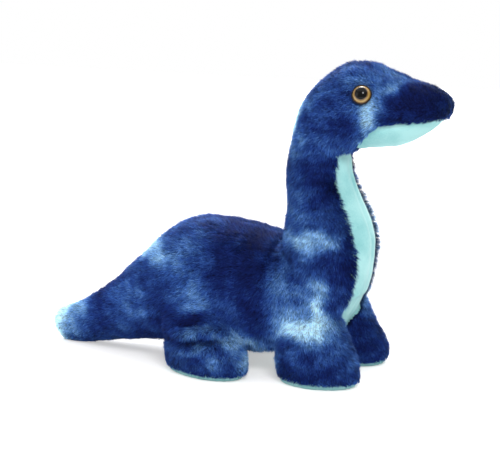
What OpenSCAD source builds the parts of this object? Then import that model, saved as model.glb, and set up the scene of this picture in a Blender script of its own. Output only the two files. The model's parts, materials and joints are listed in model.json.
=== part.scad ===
// Stuffed long-necked dinosaur: sewn cloth panels over fibre filling, with locked eyes.
// Millimetres, +Z up, snout toward +X. The origin is on the floor below the middle of the toy.

/* [Toy] */
// Length from the tip of the tail to the snout
toy_length = 320; // [270:1:390]
// Height from the soles to the crown
toy_height = 232; // [200:1:280]
// Width that the trunk and head are drawn against
toy_width = 120; // [100:1:145]

/* [Cloth] */
// Thickness of a sewn panel, backing and pile root together
cloth = 2; // [1.5:0.1:2.6]
// Opening between two panels that meet at a seam
seam_gap = 0.2; // [0.1:0.05:0.4]
// Width of the aqua panel along the belly and the chest
belly_strip = 42; // [34:1:48]
// Width of the aqua panel at the top of the throat
throat_strip = 30; // [24:1:36]
// Width of the gusset over the crown
crown_strip = 18; // [12:1:26]

/* [Legs] */
// Distance from the middle plane to a front foot
front_spread = 32; // [30:1:38]
// Distance from the middle plane to a rear foot
rear_spread = 39; // [35:1:44]
// Length of a foot from heel to toe
foot_length = 62; // [54:1:66]
// Width of a foot
foot_width = 41; // [34:1:43]
// Height of the hips above the floor
hip_height = 46; // [42:1:52]
// Swing of a leg each way from standing
leg_swing = 8; // [4:1:9]

/* [Neck and tail] */
// Lean of the neck each way at its base
neck_lean = 15; // [8:1:16]
// Sway of the neck to each side at its middle
neck_sway = 14; // [8:1:16]
// Nod of the head each way
head_nod = 15; // [8:1:16]
// Swing of the tail to each side at its root
tail_swing = 18; // [10:1:20]
// Lift and drop of the tail tip
tail_lift = 14; // [8:1:16]

/* [Eyes] */
// Diameter of the amber part of an eye
iris_d = 13; // [10:0.5:15]
// Diameter of the black pupil
pupil_d = 8; // [5:0.5:9]
// Diameter of the shank that passes through the cloth
shank_d = 4; // [3:0.5:5]

/* [Hidden] */

$fn = 48;
RIGHT = -1;
LEFT = 1;
ROUND_STEPS = 20;
START_STEP = 0.3;
FIRST_POINT = 0.01;
LAST_POINT = 0.1;
filling_gap = 0.2;
joint_gap = 0.5;
far = toy_length;
length_unit = toy_length / 100;
height_unit = toy_height / 100;
width_unit = toy_width / 100;

// A rib is [back x, back z, belly x, belly z, half width], in hundredths of the toy's length, height and width.
trunk_ribs = [
  [-50, 9.5, -50, 4.5, 4], [-48.5, 11.5, -48.5, 2.5, 7.5], [-44.5, 14, -44.5, 2, 10], [-37.5, 20, -37.5, 3.5, 15],
  [-31, 26, -31, 4.5, 21], [-24.5, 34, -24, 5.5, 27.5], [-18.5, 41.5, -17.5, 6, 34], [-12.5, 45.5, -12, 7, 37.5],
  [-4, 46.5, -4, 8, 39], [3, 45.5, 3, 8.5, 38], [10.5, 43, 10.5, 9, 36.5], [19, 41.5, 17.5, 9.5, 34],
  [25.5, 40, 23, 13, 30], [28.5, 37.5, 26.5, 19, 23], [30, 33.5, 29, 25, 13]];
neck_ribs = [
  [13, 30, 30, 26, 30], [12, 40, 31.5, 36.5, 31.5], [12, 48, 31.5, 46, 28.5], [12.5, 56.5, 28.5, 56.5, 23.5],
  [12, 64.5, 26.5, 64.5, 20], [12.5, 71, 26, 70.5, 19.5], [13.5, 78.5, 26, 72.5, 20], [15, 85.5, 27.5, 73, 21.5],
  [19, 93.5, 29.5, 73, 23.5], [24.5, 99, 32, 73.5, 24], [30, 100, 35, 74, 24], [35.5, 98.2, 38, 74.5, 21.5],
  [41, 96, 41.5, 76.5, 19], [45.5, 94, 45.5, 79, 15.5], [48.5, 92, 48.5, 81.5, 11], [50, 89.5, 50, 84, 5.5]];

// A leg ring is [height, shift along X, shift outward, half length, half width]: the height as a share of the
// hip's height, the shifts in millimetres, and the rest as shares of the foot.
leg_rings = [
  [0, 2, 0, 0.44, 0.41], [0.07, 3, 0, 0.49, 0.475], [0.22, 3, 0, 0.5, 0.5], [0.48, 1, -1, 0.45, 0.485],
  [0.8, -3, -2, 0.39, 0.45], [1.05, -4, -4, 0.34, 0.37], [1.28, -4, -5, 0.2, 0.2]];

// Hip axes run along Y through these points, [x, z].
front_hip = [21.5 * length_unit, hip_height];
rear_hip = [-5.5 * length_unit, hip_height];

// A joint is [centre, turn of its frame, radius of its round nose, swing]. In its own frame the hinge runs
// along Y and the moving side lies toward +Z.
neck_base = [[20.8 * length_unit, 0, 48 * height_unit], [0, 0, 0], 0.19 * toy_width, neck_lean];
neck_middle = [[19.5 * length_unit, 0, 60 * height_unit], [0, 0, 90], 0.15 * toy_width, neck_sway];
neck_top = [[19 * length_unit, 0, 73.5 * height_unit], [0, 11, 0], 0.14 * toy_width, head_nod];
tail_base = [[-24 * length_unit, 0, 19 * height_unit], [90, 0, -90], 0.2 * toy_width, tail_swing];
tail_middle = [[-37 * length_unit, 0, 12 * height_unit], [0, -90, 0], 0.11 * toy_width, tail_lift];
neck_base_window = 0.29 * toy_width;

// Seams and the mouth, in millimetres.
flank_seam_x = 10.5 * length_unit;
strip_start_x = -14 * length_unit;
strip_behind = [14 * length_unit, 22 * height_unit];
strip_chest = [21 * length_unit, 48 * height_unit];
strip_throat = [19.5 * length_unit, 80 * height_unit];
strip_narrows_z = 40 * height_unit;
strip_top_z = 74 * height_unit;
jaw_foot = [27 * length_unit, 73 * height_unit];
jaw_behind_x = 26.5 * length_unit;
jaw_below_z = 60 * height_unit;
jaw_ahead = [60 * length_unit, 86 * height_unit];
crown_behind_x = 17 * length_unit;
mouth_corner = [35 * length_unit, 82.5 * height_unit];
mouth_front = [50 * length_unit, 85 * height_unit];
sole_thickness = cloth;

// Eyes: where the shank passes the cloth, and the way the eye looks.
eye_centre = [31.3 * length_unit, 21.6 * width_unit, 91.5 * height_unit];
eye_tilt = 24;
eye_yaw = 10;
backing_t = 1.4;
backing_d = iris_d + 1.4;
dome_h = 0.34 * iris_d;
shank_length = 11;
washer_d = iris_d + 1;
washer_t = 1.2;
washer_depth = cloth + 2.2;
shank_clearance = 0.15;
pocket_clearance = 0.6;

// ---- lofted bodies ----

function rib_back(rib) = [rib[0] * length_unit, 0, rib[1] * height_unit];
function rib_belly(rib) = [rib[2] * length_unit, 0, rib[3] * height_unit];
function rib_centre(rib) = (rib_back(rib) + rib_belly(rib)) / 2;

// How far the first and last ribs move inward, so that a shrunk loft is shrunk at its ends too.
function end_shift(ribs, i, grow) =
  let (last = len(ribs) - 1)
  i == 0 ? grow * unit(rib_centre(ribs[0]) - rib_centre(ribs[1]))
  : i == last ? grow * unit(rib_centre(ribs[last]) - rib_centre(ribs[last - 1]))
  : [0, 0, 0];

function unit(v) = v / norm(v);

// The points of one rib: an ellipse that stands on the line from belly to back.
function rib_points(ribs, i, grow) =
  let (
    spine = rib_back(ribs[i]) - rib_belly(ribs[i]),
    centre = rib_centre(ribs[i]) + end_shift(ribs, i, grow),
    half_height = norm(spine) / 2 + grow,
    half_width = ribs[i][4] * width_unit + grow
  )
  [for (s = [0:ROUND_STEPS - 1])
    let (a = 360 * (s + START_STEP) / ROUND_STEPS)
    centre + cos(a) * half_height * unit(spine) + [0, sin(a) * half_width, 0]];

// The points of one leg ring: a level ellipse.
function leg_points(hip, spread, side, ring, grow) =
  let (
    z = ring[0] * hip[1],
    raised = z == 0 ? -grow : (ring == leg_rings[len(leg_rings) - 1] ? z + grow : z),
    centre = [hip[0] + ring[1], side * (spread + ring[2]), raised]
  )
  [for (s = [0:ROUND_STEPS - 1])
    let (a = 360 * (s + START_STEP) / ROUND_STEPS)
    centre + [cos(a) * (ring[3] * foot_length + grow), -sin(a) * (ring[4] * foot_width + grow), 0]];

// A closed skin over a stack of point rings, with a shallow point in the middle of each end.
module loft(rings) {
  n = ROUND_STEPS;
  last = len(rings) - 1;
  foot = len(rings) * n;
  crown = foot + 1;
  polyhedron(
    points = [
      for (ring = rings) each ring,
      mean(rings[0]) + FIRST_POINT * (mean(rings[0]) - mean(rings[1])),
      mean(rings[last]) + LAST_POINT * (mean(rings[last]) - mean(rings[last - 1]))
    ],
    faces = concat(
      [for (s = [0:n - 1]) [(s + 1) % n, s, foot]],
      [for (s = [0:n - 1]) [last * n + s, last * n + (s + 1) % n, crown]],
      [for (r = [0:last - 1]) for (s = [0:n - 1]) [r * n + s, r * n + (s + 1) % n, (r + 1) * n + s]],
      [for (r = [0:last - 1]) for (s = [0:n - 1])
        [r * n + (s + 1) % n, (r + 1) * n + (s + 1) % n, (r + 1) * n + s]]
    )
  );
}

function sum(v, i = 0) = i == len(v) - 1 ? v[i] : v[i] + sum(v, i + 1);
function mean(points) = sum(points) / len(points);

module trunk_form(grow = 0) loft([for (i = [0:len(trunk_ribs) - 1]) rib_points(trunk_ribs, i, grow)]);

module neck_form(grow = 0) loft([for (i = [0:len(neck_ribs) - 1]) rib_points(neck_ribs, i, grow)]);

module leg_form(hip, spread, side, grow = 0)
  loft([for (ring = leg_rings) leg_points(hip, spread, side, ring, grow)]);

// Everything inside is meshed as one piece.
module soft() { resize([0, 0, 0]) children(); }

// ---- joints ----

module at(joint) { translate(joint[0]) rotate(joint[1]) children(); }

// The space that a joint's moving side keeps: its round nose and all that lies beyond the hinge.
module moving_side(joint) {
  at(joint) {
    rotate([90, 0, 0]) cylinder(r = joint[2] - joint_gap, h = far, center = true);
    translate([-far / 2, -far / 2, 0]) cube(far);
  }
}

// The space that the moving side sweeps through, kept free on the fixed side.
module swept_side(joint, window = far) {
  at(joint) {
    rotate([90, 0, 0]) cylinder(r = joint[2] + joint_gap, h = far, center = true);
    for (swing = [-joint[3], joint[3]])
      intersection() {
        rotate([0, swing, 0]) translate([-far / 2, -far / 2, -joint_gap]) cube(far);
        translate([-window, -far / 2, -window]) cube([2 * window, far, 2 * far]);
      }
  }
}

// The space that a leg sweeps through in the torso.
module leg_pocket(hip, spread, side) {
  hull()
    for (swing = [-leg_swing, 0, leg_swing])
      translate([hip[0], 0, hip[1]]) rotate([0, swing, 0]) translate([-hip[0], 0, -hip[1]])
        leg_form(hip, spread, side, joint_gap);
}

// ---- panel regions ----

// One side of the toy's middle plane.
module half(side) {
  translate([-far, side == LEFT ? seam_gap / 2 : -far - seam_gap / 2, -far / 2]) cube([2 * far, far, 2 * far]);
}

// Under the belly and in front of the throat and chest, seen from the side.
module strip_reach(grow) {
  rotate([90, 0, 0]) linear_extrude(far, center = true)
    polygon([
      [strip_start_x - grow, -far], [strip_start_x - grow, strip_behind.y], strip_behind,
      strip_chest, strip_throat, [far, strip_throat.y], [far, -far]
    ]);
}

// Between the two edges of the aqua panel, seen from the front.
module strip_width(grow) {
  belly = belly_strip / 2 + grow;
  throat = throat_strip / 2 + grow;
  rotate([90, 0, 90]) linear_extrude(2 * far, center = true)
    polygon([
      [-belly, -far], [-belly, strip_narrows_z], [-throat, strip_top_z],
      [throat, strip_top_z], [belly, strip_narrows_z], [belly, -far]
    ]);
}

// The front of the throat and chest and the underside of the belly, between the edges of the aqua panel.
module strip_region(grow = 0) {
  intersection() {
    strip_reach(grow);
    strip_width(grow);
  }
}

// The chin and lower jaw, below the mouth line.
module chin_region(grow = 0) {
  rotate([90, 0, 0]) linear_extrude(far, center = true) offset(delta = grow)
    polygon([
      [jaw_behind_x, jaw_below_z], jaw_foot, mouth_corner, mouth_front,
      jaw_ahead, [jaw_ahead.x, jaw_below_z]
    ]);
}

// The gusset over the crown and the bridge of the nose.
module crown_region(grow = 0) {
  translate([crown_behind_x, -crown_strip / 2 - grow, mouth_front.y])
    cube([far, crown_strip + 2 * grow, far]);
}

// ---- torso ----

// The foot of the neck, which belongs to the torso.
module neck_foot(grow = 0) {
  intersection() {
    neck_form(grow);
    translate([-far, -far, neck_base[0].z - 2 * far]) cube(2 * far);
  }
}

module torso_skin() {
  difference() {
    union() {
      trunk_form();
      neck_foot();
    }
    trunk_form(-cloth);
    neck_form(-cloth);
    torso_reach();
  }
}

// All that moves against the torso.
module torso_reach() {
  swept_side(neck_base, neck_base_window);
  swept_side(tail_base);
  for (side = [RIGHT, LEFT]) {
    leg_pocket(front_hip, front_spread, side);
    leg_pocket(rear_hip, rear_spread, side);
  }
}

module torso_half(side) {
  intersection() {
    torso_skin();
    half(side);
  }
}

module rear_side(side) {
  color("midnightblue") soft() difference() {
    torso_half(side);
    strip_region(seam_gap);
    translate([flank_seam_x, -far, -far]) cube(2 * far);
  }
}

module shoulder(side) {
  color("steelblue") soft() difference() {
    torso_half(side);
    strip_region(seam_gap);
    translate([flank_seam_x + seam_gap - 2 * far, -far, -far]) cube(2 * far);
  }
}

module belly_panel() {
  color("paleturquoise") soft() intersection() {
    torso_skin();
    strip_region();
  }
}

module torso_filling() {
  color("white") soft() difference() {
    union() {
      trunk_form(-cloth - filling_gap);
      neck_foot(-cloth - filling_gap);
    }
    torso_reach();
  }
}

// ---- neck and head ----

module neck_skin() {
  difference() {
    neck_form();
    neck_form(-cloth);
  }
}

// One stretch of the neck between the joint below it and the joint above it.
module neck_stretch(lower, upper) {
  difference() {
    intersection() {
      children();
      moving_side(lower);
    }
    swept_side(upper);
  }
}

module neck_side(side, lower, upper) {
  color("royalblue") soft() difference() {
    intersection() {
      neck_stretch(lower, upper) neck_skin();
      half(side);
    }
    strip_region(seam_gap);
  }
}

module throat(lower, upper) {
  color("paleturquoise") soft() intersection() {
    neck_stretch(lower, upper) neck_skin();
    strip_region();
  }
}

module neck_filling(lower, upper) {
  color("white") soft() neck_stretch(lower, upper) neck_form(-cloth - filling_gap);
}

module head_skin() {
  difference() {
    intersection() {
      neck_skin();
      moving_side(neck_top);
    }
    for (side = [RIGHT, LEFT]) eye_hole(side);
  }
}

module head_side(side) {
  color("midnightblue") soft() difference() {
    intersection() {
      head_skin();
      half(side);
    }
    chin_region(seam_gap);
    crown_region(seam_gap);
  }
}

module crown_gusset() {
  color("steelblue") soft() intersection() {
    head_skin();
    crown_region();
  }
}

module chin_panel() {
  color("paleturquoise") soft() intersection() {
    head_skin();
    chin_region();
  }
}

module head_filling() {
  color("white") soft() difference() {
    intersection() {
      neck_form(-cloth - filling_gap);
      moving_side(neck_top);
    }
    for (side = [RIGHT, LEFT]) washer_pocket(side);
  }
}

// ---- eyes ----

// The eye's own frame: +Z looks out of the head, and z = 0 is the outside of the cloth.
module eye_frame(side) {
  translate([eye_centre.x, side * eye_centre.y, eye_centre.z])
    rotate([0, 0, -side * eye_yaw]) rotate([-side * (90 - eye_tilt), 0, 0]) children();
}

// The hole for the shank, and a flat seat for the backing disc where the cloth bulges.
module eye_hole(side) {
  eye_frame(side) {
    translate([0, 0, -2 * cloth]) cylinder(d = shank_d + 2 * shank_clearance, h = 4 * cloth);
    translate([0, 0, -shank_clearance]) cylinder(d = backing_d + 2 * shank_clearance, h = 2 * cloth);
  }
}

module washer_pocket(side) {
  eye_frame(side) translate([0, 0, -shank_length - pocket_clearance])
    cylinder(d = washer_d + 2 * pocket_clearance, h = shank_length + backing_d);
}

// A ball's cap that stands on the backing disc, as high as the dome, as wide as the iris.
module eye_dome() {
  ball_r = (pow(iris_d / 2, 2) + pow(dome_h, 2)) / (2 * dome_h);
  translate([0, 0, backing_t]) intersection() {
    translate([0, 0, dome_h - ball_r]) sphere(r = ball_r);
    cylinder(d = 2 * iris_d, h = iris_d);
  }
}

module eye_iris(side) {
  color("goldenrod") eye_frame(side) difference() {
    eye_dome();
    cylinder(d = pupil_d + seam_gap, h = iris_d);
  }
}

module eye_pupil(side) {
  color("black") eye_frame(side) intersection() {
    eye_dome();
    cylinder(d = pupil_d, h = iris_d);
  }
}

module eye_shank(side) {
  color("black") eye_frame(side) {
    cylinder(d = backing_d, h = backing_t);
    translate([0, 0, -shank_length]) cylinder(d = shank_d, h = shank_length);
  }
}

module eye_washer(side) {
  color("ivory") eye_frame(side) translate([0, 0, -washer_depth - washer_t]) difference() {
    cylinder(d = washer_d, h = washer_t);
    translate([0, 0, -washer_t]) cylinder(d = shank_d + 2 * shank_clearance, h = 3 * washer_t);
  }
}

// ---- tail ----

module tail_skin() {
  difference() {
    trunk_form();
    trunk_form(-cloth);
  }
}

module tail_root_space() {
  difference() {
    intersection() {
      children();
      moving_side(tail_base);
    }
    swept_side(tail_middle);
  }
}

module tail_tip_space() {
  intersection() {
    children();
    moving_side(tail_middle);
  }
}

module tail_root(side) {
  color("midnightblue") soft() intersection() {
    tail_root_space() tail_skin();
    half(side);
  }
}

module tail_root_filling() { color("white") soft() tail_root_space() trunk_form(-cloth - filling_gap); }

module tail_tip(side) {
  color("lightsteelblue") soft() intersection() {
    tail_tip_space() tail_skin();
    half(side);
  }
}

module tail_tip_filling() { color("white") soft() tail_tip_space() trunk_form(-cloth - filling_gap); }

// ---- legs ----

// Outside or inside of the plane through the middle of a foot.
module leg_half(spread, side, outer) {
  middle = side * spread;
  toward = outer ? side : -side;
  translate([-far, toward > 0 ? middle + seam_gap / 2 : middle - seam_gap / 2 - far, sole_thickness + seam_gap])
    cube([2 * far, far, far]);
}

module leg_panel(hip, spread, side, outer) {
  color(outer ? "royalblue" : "midnightblue") soft() intersection() {
    difference() {
      leg_form(hip, spread, side);
      leg_form(hip, spread, side, -cloth);
    }
    leg_half(spread, side, outer);
  }
}

module leg_sole(hip, spread, side) {
  color("paleturquoise") soft() intersection() {
    leg_form(hip, spread, side);
    translate([-far, -far, 0]) cube([2 * far, 2 * far, sole_thickness]);
  }
}

module leg_filling(hip, spread, side) {
  color("white") soft() intersection() {
    leg_form(hip, spread, side, -cloth - filling_gap);
    translate([-far, -far, sole_thickness + filling_gap]) cube(2 * far);
  }
}

// ---- nodes ----

rear_side(RIGHT);  // rear_side_right
rear_side(LEFT);  // rear_side_left
shoulder(RIGHT);  // shoulder_right
shoulder(LEFT);  // shoulder_left
belly_panel();
torso_filling();
neck_side(RIGHT, neck_base, neck_middle);  // neck_lower_right
neck_side(LEFT, neck_base, neck_middle);  // neck_lower_left
throat(neck_base, neck_middle);  // throat_lower
neck_filling(neck_base, neck_middle);  // neck_lower_filling
neck_side(RIGHT, neck_middle, neck_top);  // neck_upper_right
neck_side(LEFT, neck_middle, neck_top);  // neck_upper_left
throat(neck_middle, neck_top);  // throat_upper
neck_filling(neck_middle, neck_top);  // neck_upper_filling
head_side(RIGHT);  // head_side_right
head_side(LEFT);  // head_side_left
crown_gusset();
chin_panel();
head_filling();
eye_iris(RIGHT);  // eye_iris_right
eye_pupil(RIGHT);  // eye_pupil_right
eye_shank(RIGHT);  // eye_shank_right
eye_washer(RIGHT);  // eye_washer_right
eye_iris(LEFT);  // eye_iris_left
eye_pupil(LEFT);  // eye_pupil_left
eye_shank(LEFT);  // eye_shank_left
eye_washer(LEFT);  // eye_washer_left
tail_root(RIGHT);  // tail_root_right
tail_root(LEFT);  // tail_root_left
tail_root_filling();
tail_tip(RIGHT);  // tail_tip_right
tail_tip(LEFT);  // tail_tip_left
tail_tip_filling();
leg_panel(front_hip, front_spread, RIGHT, true);  // front_leg_right_outer
leg_panel(front_hip, front_spread, RIGHT, false);  // front_leg_right_inner
leg_sole(front_hip, front_spread, RIGHT);  // front_sole_right
leg_filling(front_hip, front_spread, RIGHT);  // front_leg_right_filling
leg_panel(front_hip, front_spread, LEFT, true);  // front_leg_left_outer
leg_panel(front_hip, front_spread, LEFT, false);  // front_leg_left_inner
leg_sole(front_hip, front_spread, LEFT);  // front_sole_left
leg_filling(front_hip, front_spread, LEFT);  // front_leg_left_filling
leg_panel(rear_hip, rear_spread, RIGHT, true);  // rear_leg_right_outer
leg_panel(rear_hip, rear_spread, RIGHT, false);  // rear_leg_right_inner
leg_sole(rear_hip, rear_spread, RIGHT);  // rear_sole_right
leg_filling(rear_hip, rear_spread, RIGHT);  // rear_leg_right_filling
leg_panel(rear_hip, rear_spread, LEFT, true);  // rear_leg_left_outer
leg_panel(rear_hip, rear_spread, LEFT, false);  // rear_leg_left_inner
leg_sole(rear_hip, rear_spread, LEFT);  // rear_sole_left
leg_filling(rear_hip, rear_spread, LEFT);  // rear_leg_left_filling
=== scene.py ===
"""A stuffed long-necked dinosaur in mottled blue plush, with an aqua throat, belly and soles."""

import json  # noqa: E402
import logging  # noqa: E402
import math  # noqa: E402
from dataclasses import dataclass, field  # noqa: E402
from enum import Enum  # noqa: E402

import bmesh  # noqa: E402
import bpy  # noqa: E402
import numpy as np  # noqa: E402
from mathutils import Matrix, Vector  # noqa: E402

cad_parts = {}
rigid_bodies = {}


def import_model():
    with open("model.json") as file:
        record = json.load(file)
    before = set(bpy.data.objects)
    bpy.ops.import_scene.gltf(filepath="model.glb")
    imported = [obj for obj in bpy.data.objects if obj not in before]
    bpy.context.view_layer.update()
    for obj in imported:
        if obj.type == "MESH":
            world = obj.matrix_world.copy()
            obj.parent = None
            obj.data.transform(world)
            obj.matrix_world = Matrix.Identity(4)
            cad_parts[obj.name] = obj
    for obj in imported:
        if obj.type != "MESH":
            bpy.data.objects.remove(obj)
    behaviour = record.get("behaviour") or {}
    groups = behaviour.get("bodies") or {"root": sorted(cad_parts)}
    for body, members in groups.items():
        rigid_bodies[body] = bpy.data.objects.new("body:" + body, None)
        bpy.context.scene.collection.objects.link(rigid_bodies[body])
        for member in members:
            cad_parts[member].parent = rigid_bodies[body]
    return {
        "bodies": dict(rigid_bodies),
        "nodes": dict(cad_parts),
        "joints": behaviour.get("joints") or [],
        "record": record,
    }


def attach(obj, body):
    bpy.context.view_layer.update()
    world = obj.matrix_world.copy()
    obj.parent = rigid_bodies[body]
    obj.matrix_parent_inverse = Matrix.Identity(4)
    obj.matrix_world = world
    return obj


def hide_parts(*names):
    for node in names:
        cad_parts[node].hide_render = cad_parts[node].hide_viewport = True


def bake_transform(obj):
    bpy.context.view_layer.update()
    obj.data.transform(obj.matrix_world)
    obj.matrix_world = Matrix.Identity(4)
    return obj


LOG = logging.getLogger("dinosaur")
MM = 0.001
SEED = 20
# The sizes that the toy's shape is drawn in: hundredths of its length, height and width.
TOY_LENGTH, TOY_HEIGHT, TOY_WIDTH = 0.320, 0.232, 0.120
LX, HZ, WY = TOY_LENGTH / 100, TOY_HEIGHT / 100, TOY_WIDTH / 100


class Side(Enum):
    """Which side of the toy's middle plane a piece is on."""

    RIGHT = -1
    LEFT = 1

    @property
    def word(self) -> str:
        """The side's word in a piece's name."""
        return self.name.lower()


class Cloth(Enum):
    """The two cloths that the toy is cut from."""

    BLUE = "blue_plush"
    AQUA = "aqua_plush"


# ---------------------------------------------------------------- small tools


def deselect_all() -> None:
    """Leaves nothing selected and nothing active."""
    if bpy.context.object is not None and bpy.context.object.mode != "OBJECT":
        bpy.ops.object.mode_set(mode="OBJECT")
    bpy.ops.object.select_all(action="DESELECT")
    bpy.context.view_layer.objects.active = None


def make_active(obj: bpy.types.Object) -> None:
    """Selects one object alone and makes it active."""
    deselect_all()
    obj.select_set(True)
    bpy.context.view_layer.objects.active = obj


def apply_modifier(obj: bpy.types.Object, kind: str, **settings: object) -> None:
    """Adds a modifier to an object and applies it at once.

    Args:
        obj: the object.
        kind: Blender's name of the modifier's type.
        settings: the modifier's own settings.
    """
    make_active(obj)
    modifier = obj.modifiers.new(kind.title(), kind)
    for name, value in settings.items():
        setattr(modifier, name, value)
    bpy.ops.object.modifier_apply(modifier=modifier.name)


def read_rows(items: bpy.types.bpy_prop_collection, key: str) -> np.ndarray:
    """Reads a vector of every item of a collection.

    Args:
        items: the collection, such as a mesh's vertices.
        key: the vector's name.

    Returns:
        One row an item.
    """
    out = np.empty(len(items) * 3)
    items.foreach_get(key, out)
    return out.reshape(-1, 3)


def vertex_places(mesh: bpy.types.Mesh) -> np.ndarray:
    """The places of a mesh's vertices, one row each."""
    return read_rows(mesh.vertices, "co")


def vertex_normals(mesh: bpy.types.Mesh) -> np.ndarray:
    """The normals of a mesh's vertices, one row each."""
    return read_rows(mesh.vertices, "normal")


def face_centres(mesh: bpy.types.Mesh) -> np.ndarray:
    """The middles of a mesh's faces, one row each."""
    return read_rows(mesh.polygons, "center")


def set_places(mesh: bpy.types.Mesh, places: np.ndarray) -> None:
    """Moves a mesh's vertices to new places."""
    mesh.vertices.foreach_set("co", places.astype(np.float32).ravel())
    mesh.update()


def unit(rows: np.ndarray) -> np.ndarray:
    """Each row at length one."""
    return rows / np.maximum(np.linalg.norm(rows, axis=-1, keepdims=True), 1e-12)


def ramp(value: np.ndarray, low: float, high: float) -> np.ndarray:
    """A smooth step from 0 at low to 1 at high."""
    t = np.clip((value - low) / (high - low), 0.0, 1.0)
    return t * t * (3.0 - 2.0 * t)


def ring_angles(count: int) -> list[float]:
    """Angles evenly round a ring."""
    return [2 * math.pi * step / count for step in range(count)]


def join_rows(mesh: bmesh.types.BMesh, rows: list[list[bmesh.types.BMVert]]) -> None:
    """Fills the band between each ring of corners and the next with faces."""
    for first, second in zip(rows, rows[1:]):
        for step in range(len(first)):
            after = (step + 1) % len(first)
            mesh.faces.new((first[step], first[after], second[after], second[step]))


def write_mesh(mesh: bmesh.types.BMesh, obj: bpy.types.Object) -> None:
    """Turns a mesh's faces outward and gives it to an object."""
    bmesh.ops.recalc_face_normals(mesh, faces=mesh.faces)
    mesh.to_mesh(obj.data)
    mesh.free()


def wander(places: np.ndarray, size: float, seed: int) -> np.ndarray:
    """A smooth, seeded, uneven field from about -1 to 1, summed from slanted waves.

    Args:
        places: points, one row each.
        size: the length of the longest wave, in metres.
        seed: which field.

    Returns:
        One value a point.
    """
    rng = np.random.default_rng(seed)
    total = np.zeros(len(places))
    for octave in range(3):
        for _ in range(7):
            direction = unit(rng.normal(size=3))
            phase = rng.uniform(0, 2 * math.pi)
            pitch = 2 * math.pi / size * 1.9**octave * rng.uniform(0.7, 1.3)
            total += np.sin(places @ direction * pitch + phase) / 1.7**octave
    return total / 5.2


# ---------------------------------------------------------------- finishes


Tone = tuple[float, float, float]
# The colour sockets of a Mix node, which has a set of sockets for each kind of value.
MIX_FIRST, MIX_SECOND, MIX_RESULT = 6, 7, 2


def start_material(name: str) -> tuple[bpy.types.Material, bpy.types.NodeTree, bpy.types.Node]:
    """Makes a new material.

    Args:
        name: the material's name.

    Returns:
        The material, its node tree and its Principled shader.
    """
    material = bpy.data.materials.new(name)
    material.use_nodes = True
    return material, material.node_tree, material.node_tree.nodes["Principled BSDF"]


def set_inputs(node: bpy.types.Node, values: dict[str | int, object]) -> None:
    """Sets a node's inputs to constants."""
    for key, value in values.items():
        node.inputs[key].default_value = value


def read_attribute(tree: bpy.types.NodeTree, name: str) -> bpy.types.NodeSocket:
    """Adds a node that reads a mesh's attribute.

    Args:
        tree: the material's nodes.
        name: the attribute's name.

    Returns:
        The socket that gives its value.
    """
    node = tree.nodes.new("ShaderNodeAttribute")
    node.attribute_name = name
    return node.outputs["Fac"]


def object_noise(tree: bpy.types.NodeTree, scale: float, detail: float = 2.0) -> bpy.types.NodeSocket:
    """Adds a noise on Object coordinates.

    Args:
        tree: the material's nodes.
        scale: how fine the noise is.
        detail: how many finer layers it has.

    Returns:
        The socket that gives its value.
    """
    place = tree.nodes.new("ShaderNodeTexCoord")
    noise = tree.nodes.new("ShaderNodeTexNoise")
    set_inputs(noise, {"Scale": scale, "Detail": detail})
    tree.links.new(place.outputs["Object"], noise.inputs["Vector"])
    return noise.outputs["Fac"]


def colour_ramp(
    tree: bpy.types.NodeTree, feed: bpy.types.NodeSocket, stops: tuple[tuple[float, Tone], ...]
) -> bpy.types.NodeSocket:
    """Adds a colour ramp.

    Args:
        tree: the material's nodes.
        feed: the socket that the ramp reads.
        stops: place and colour of each stop, in order.

    Returns:
        The socket that gives the colour.
    """
    ramp_node = tree.nodes.new("ShaderNodeValToRGB")
    elements = ramp_node.color_ramp.elements
    while len(elements) < len(stops):
        elements.new(1.0)
    for element, (place, tone) in zip(elements, stops):
        element.position = place
        element.color = (*tone, 1.0)
    tree.links.new(feed, ramp_node.inputs["Fac"])
    return ramp_node.outputs["Color"]


@dataclass(frozen=True)
class DyedPlush:
    """Combed plush with a mottled dye, darkest navy to pale sky, each blade darkened toward its root as painted
    shade.
    """

    name: str = "dyed_plush"
    tones: tuple[tuple[float, Tone], ...] = (
        (0.0, (0.002, 0.005, 0.050)),
        (0.22, (0.005, 0.018, 0.125)),
        (0.42, (0.024, 0.075, 0.285)),
        (0.60, (0.095, 0.225, 0.480)),
        (0.78, (0.280, 0.500, 0.700)),
        (1.0, (0.600, 0.840, 0.900)),
    )
    # A blade's colour is scaled from root_shade at its root to tip_shade at its tip; the dark root is painted
    # shade deep in the pile.
    root_shade: float = 0.22
    tip_shade: float = 2.35
    roughness: float = 0.72
    gloss: float = 0.08
    sheen: float = 0.12
    sheen_roughness: float = 0.45
    sheen_tint: Tone = (0.35, 0.60, 1.0)

    def make(self) -> bpy.types.Material:
        """Builds the material, which reads the "dye" and "strand" attributes.

        Returns:
            The material.
        """
        material, tree, shader = start_material(self.name)
        shade = tree.nodes.new("ShaderNodeMapRange")
        set_inputs(shade, {"To Min": self.root_shade, "To Max": self.tip_shade})
        mix = tree.nodes.new("ShaderNodeMix")
        mix.data_type = "RGBA"
        mix.blend_type = "MULTIPLY"
        set_inputs(mix, {0: 1.0})
        tree.links.new(read_attribute(tree, "strand"), shade.inputs["Value"])
        tree.links.new(colour_ramp(tree, read_attribute(tree, "dye"), self.tones), mix.inputs[MIX_FIRST])
        tree.links.new(shade.outputs["Result"], mix.inputs[MIX_SECOND])
        tree.links.new(mix.outputs[MIX_RESULT], shader.inputs["Base Color"])
        set_inputs(shader, {
            "Roughness": self.roughness,
            "Specular IOR Level": self.gloss,
            "Sheen Weight": self.sheen,
            "Sheen Roughness": self.sheen_roughness,
            "Sheen Tint": (*self.sheen_tint, 1.0),
        })
        return material


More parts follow.
